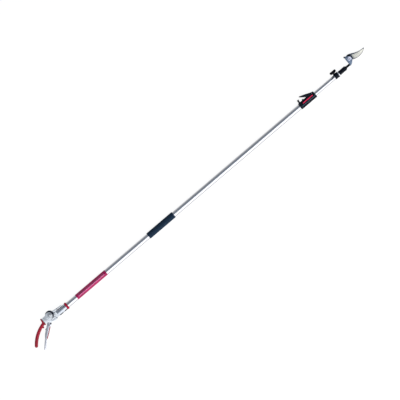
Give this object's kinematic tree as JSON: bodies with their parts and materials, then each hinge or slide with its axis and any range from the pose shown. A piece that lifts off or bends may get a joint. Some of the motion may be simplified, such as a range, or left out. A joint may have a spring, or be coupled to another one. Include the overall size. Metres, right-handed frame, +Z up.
{
  "type": "telescoping long-reach pruner",
  "caption": "Long telescoping garden pruner: squeeze handles at one end, small bypass jaws on a swivelling head at the other, tube lock and foam grip between.",
  "frame": {"origin": "middle of the footprint, on the floor that the tool lies on", "axes": "+X along the pole towards the jaws, +Y towards the flip lock's lever, +Z up"},
  "size_m": [1.8312, 0.1224, 0.0334],
  "materials": {
    "cast_alloy": "die-cast, tumbled",
    "cast_head": "die-cast, grey-blue",
    "lever_alloy": "satin",
    "screw_steel": "zinc plated",
    "nut_steel": "satin",
    "core_steel": "plain",
    "red_vinyl": "dipped vinyl",
    "red_pad": "dipped vinyl",
    "black_rubber": "matt",
    "black_steel": "black oxide",
    "bronze": "sintered",
    "navy_plastic": "smooth",
    "tube_alloy": "bright anodised",
    "rod_steel": "drawn",
    "white_plastic": "moulded",
    "red_ring": "moulded",
    "magenta_film": "shrink film",
    "foam": "closed-cell foam",
    "black_plastic": "moulded",
    "knob_plastic": "moulded",
    "red_stripe": "inlaid",
    "ring_steel": "turned",
    "hook_steel": "hardened, oiled",
    "blade_steel": "hardened, dark spine with ground bevel"
  },
  "bodies": {
    "pole": {"housing_lower": "cast_alloy", "housing_upper": "cast_alloy", "housing_screws": "screw_steel", "handle_core": "core_steel", "rear_grip": "red_vinyl", "trigger_bolt": "screw_steel", "trigger_nut": "screw_steel", "guide_bush": "white_plastic", "tube_socket": "lever_alloy", "socket_pads": "black_rubber", "end_ring": "red_ring", "outer_tube": "tube_alloy", "plain_sleeve": "magenta_film", "foam_grip": "foam", "clamp_body": "black_plastic", "clamp_stripe": "red_stripe", "clamp_liner": "white_plastic", "lever_pin": "screw_steel", "tension_screw": "screw_steel", "clamp_rivets": "screw_steel"},
    "trigger": {"trigger_lever": "lever_alloy", "trigger_pad": "red_pad", "trigger_bumper": "black_rubber", "trigger_screw": "black_steel", "trigger_bush": "bronze"},
    "lock": {"lock_catch": "navy_plastic"},
    "pull": {"pull_clevis": "core_steel", "clevis_pin": "screw_steel", "pull_tube": "tube_alloy"},
    "inner_pole": {"inner_tube": "tube_alloy", "rear_glide": "white_plastic", "tube_key": "black_plastic", "collar": "black_plastic", "collar_ring": "ring_steel"},
    "clamp_handle": {"clamp_lever": "black_plastic"},
    "knob_screw": {"knob": "knob_plastic", "knob_stud": "screw_steel"},
    "head": {"head_socket": "black_plastic", "head_stem": "black_plastic", "head_casting": "cast_head", "counter_blade": "hook_steel", "hook_rivets": "screw_steel", "pivot_washer": "bronze", "jaw_bolt": "screw_steel", "jaw_nut": "nut_steel", "stop_post": "black_rubber", "return_spring": "rod_steel"},
    "blade": {"blade": "blade_steel"},
    "rod": {"front_rod": "rod_steel", "rod_end": "core_steel", "rod_pin": "screw_steel", "rod_washer": "screw_steel"}
  },
  "joints": [
    {"name": "trigger_squeeze", "type": "hinge", "parent": "pole", "child": "trigger", "pos_m": [-0.78361, 0.03814, 0.0155], "axis": [0, 0, 1], "range_deg": [0, 30]},
    {"name": "lock_turn", "type": "hinge", "parent": "pole", "child": "lock", "pos_m": [-0.78361, 0.03814, 0.0315], "axis": [0, 0, 1], "range_deg": [0, 35]},
    {"name": "pull_slide", "type": "slide", "parent": "pole", "child": "pull", "axis": [1, 0, 0], "range_m": [0, 0.01037]},
    {"name": "pole_extend", "type": "slide", "parent": "pole", "child": "inner_pole", "axis": [1, 0, 0], "range_m": [0, 1.17]},
    {"name": "clamp_flip", "type": "hinge", "parent": "pole", "child": "clamp_handle", "pos_m": [0.62959, 0.03374, 0.0155], "axis": [0, 0, 1], "range_deg": [-40, 10]},
    {"name": "knob_turn", "type": "hinge", "parent": "inner_pole", "child": "knob_screw", "pos_m": [0.75259, 0.03464, 0.0155], "axis": [0, 1, 0], "continuous": true},
    {"name": "head_turn", "type": "hinge", "parent": "inner_pole", "child": "head", "pos_m": [0.84059, 0.02144, 0.0155], "axis": [1, 0, 0], "range_deg": [-90, 90]},
    {"name": "blade_swing", "type": "hinge", "parent": "head", "child": "blade", "pos_m": [0.84059, 0.04104, 0.0192], "axis": [0, 0, 1], "range_deg": [0, 31.14]},
    {"name": "rod_slide", "type": "slide", "parent": "head", "child": "rod", "axis": [1, 0, 0], "range_m": [0, 0.01037], "deforming": ["return_spring"]}
  ],
  "couplings": [
    {"joint": "pull_slide", "follows": "trigger_squeeze", "m_per_rad": 0.019772},
    {"joint": "rod_slide", "follows": "trigger_squeeze", "m_per_rad": 0.019772},
    {"joint": "blade_swing", "follows": "trigger_squeeze", "ratio": 1.0372}
  ]
}
